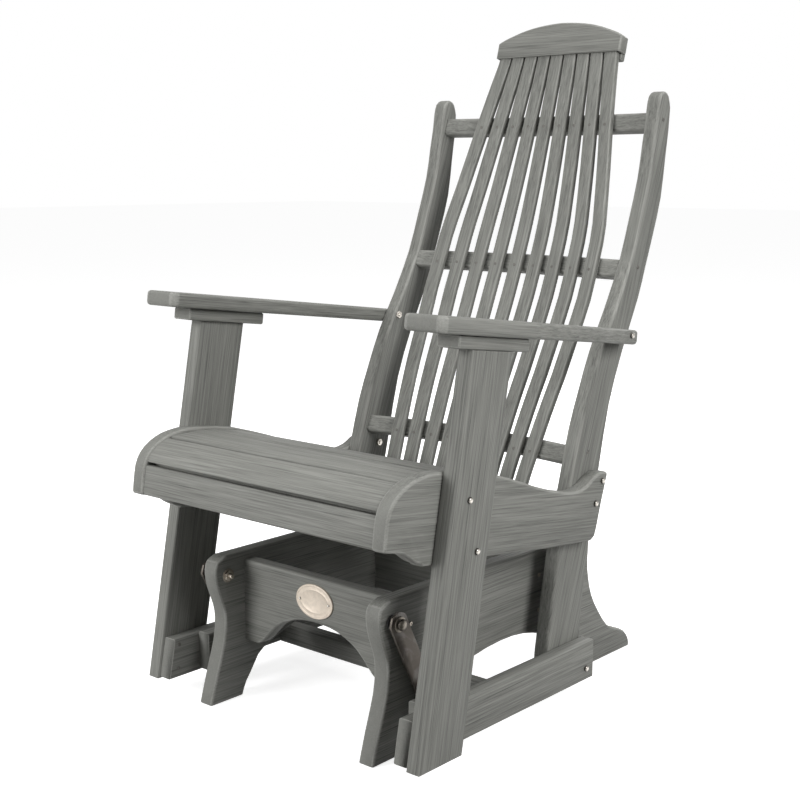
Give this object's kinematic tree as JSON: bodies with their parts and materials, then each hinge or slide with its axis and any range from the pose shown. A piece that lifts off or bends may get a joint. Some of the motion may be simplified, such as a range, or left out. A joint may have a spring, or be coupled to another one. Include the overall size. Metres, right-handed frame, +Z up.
{
  "type": "outdoor glider chair",
  "caption": "High-backed outdoor glider armchair with a fan of curved back slats; its seat frame swings on steel links hung from a still arched base.",
  "frame": {"origin": "on the floor, under the middle of the chair's box", "axes": "+Z up; the sitter looks along -Y; +X is the sitter's left"},
  "size_m": [0.6766, 0.8716, 1.2127],
  "materials": {
    "board": "weathered grey plastic lumber with a brushed grain",
    "badge": "plain satin plate",
    "link_steel": "brushed flat bar",
    "bolt_steel": "bright plated",
    "bush": "black"
  },
  "bodies": {
    "base": {"base_side_left": "board", "base_side_right": "board", "base_front_apron": "board", "base_rear_board": "board", "badge_plate": "badge", "upper_pivot_bolt_front_left": "bolt_steel", "pivot_bush_front_left": "bush", "upper_pivot_bolt_front_right": "bolt_steel", "pivot_bush_front_right": "bush", "upper_pivot_bolt_rear_left": "bolt_steel", "pivot_bush_rear_left": "bush", "upper_pivot_bolt_rear_right": "bolt_steel", "pivot_bush_rear_right": "bush"},
    "link_front": {"link_front_left": "link_steel", "link_front_right": "link_steel"},
    "link_rear": {"link_rear_left": "link_steel", "link_rear_right": "link_steel"},
    "seat_frame": {"lower_pivot_bolt_front_left": "bolt_steel", "lower_pivot_bolt_front_right": "bolt_steel", "lower_pivot_bolt_rear_left": "bolt_steel", "lower_pivot_bolt_rear_right": "bolt_steel", "lower_rail_left": "board", "lower_rail_right": "board", "arm_post_left": "board", "arm_post_right": "board", "pivot_block_left": "board", "pivot_block_right": "board", "arm_cleat_left": "board", "arm_cleat_right": "board", "armrest_left": "board", "armrest_right": "board", "seat_side_left": "board", "seat_side_right": "board", "back_upright_left": "board", "back_upright_right": "board", "lower_stretcher": "board", "seat_apron": "board", "seat_front_rail": "board", "seat_nose_slat": "board", "seat_slat_1": "board", "seat_slat_2": "board", "seat_slat_3": "board", "seat_slat_4": "board", "seat_slat_5": "board", "back_rail_bottom": "board", "back_rail_middle": "board", "back_rail_top": "board", "back_slat_1": "board", "back_slat_2": "board", "back_slat_3": "board", "back_slat_4": "board", "back_slat_5": "board", "back_slat_6": "board", "back_slat_7": "board", "back_slat_8": "board", "back_slat_9": "board", "crest_board": "board", "crest_rail": "board"}
  },
  "joints": [
    {"name": "glide", "type": "hinge", "parent": "base", "child": "link_front", "pos_m": [0, -0.32381, 0.229], "axis": [1, 0, 0], "range_deg": [-10, 10]},
    {"name": "rear_link_swing", "type": "hinge", "parent": "base", "child": "link_rear", "pos_m": [0, 0.1269, 0.23744], "axis": [1, 0, 0], "range_deg": [-9.6, 9.6]},
    {"name": "seat_on_link", "type": "hinge", "parent": "link_front", "child": "seat_frame", "pos_m": [0, -0.2443, 0.07], "axis": [1, 0, 0], "range_deg": [-14.5, 14.5]}
  ],
  "couplings": [
    {"joint": "rear_link_swing", "follows": "glide", "ratio": 0.9552},
    {"joint": "seat_on_link", "follows": "glide", "ratio": -1.4432}
  ]
}
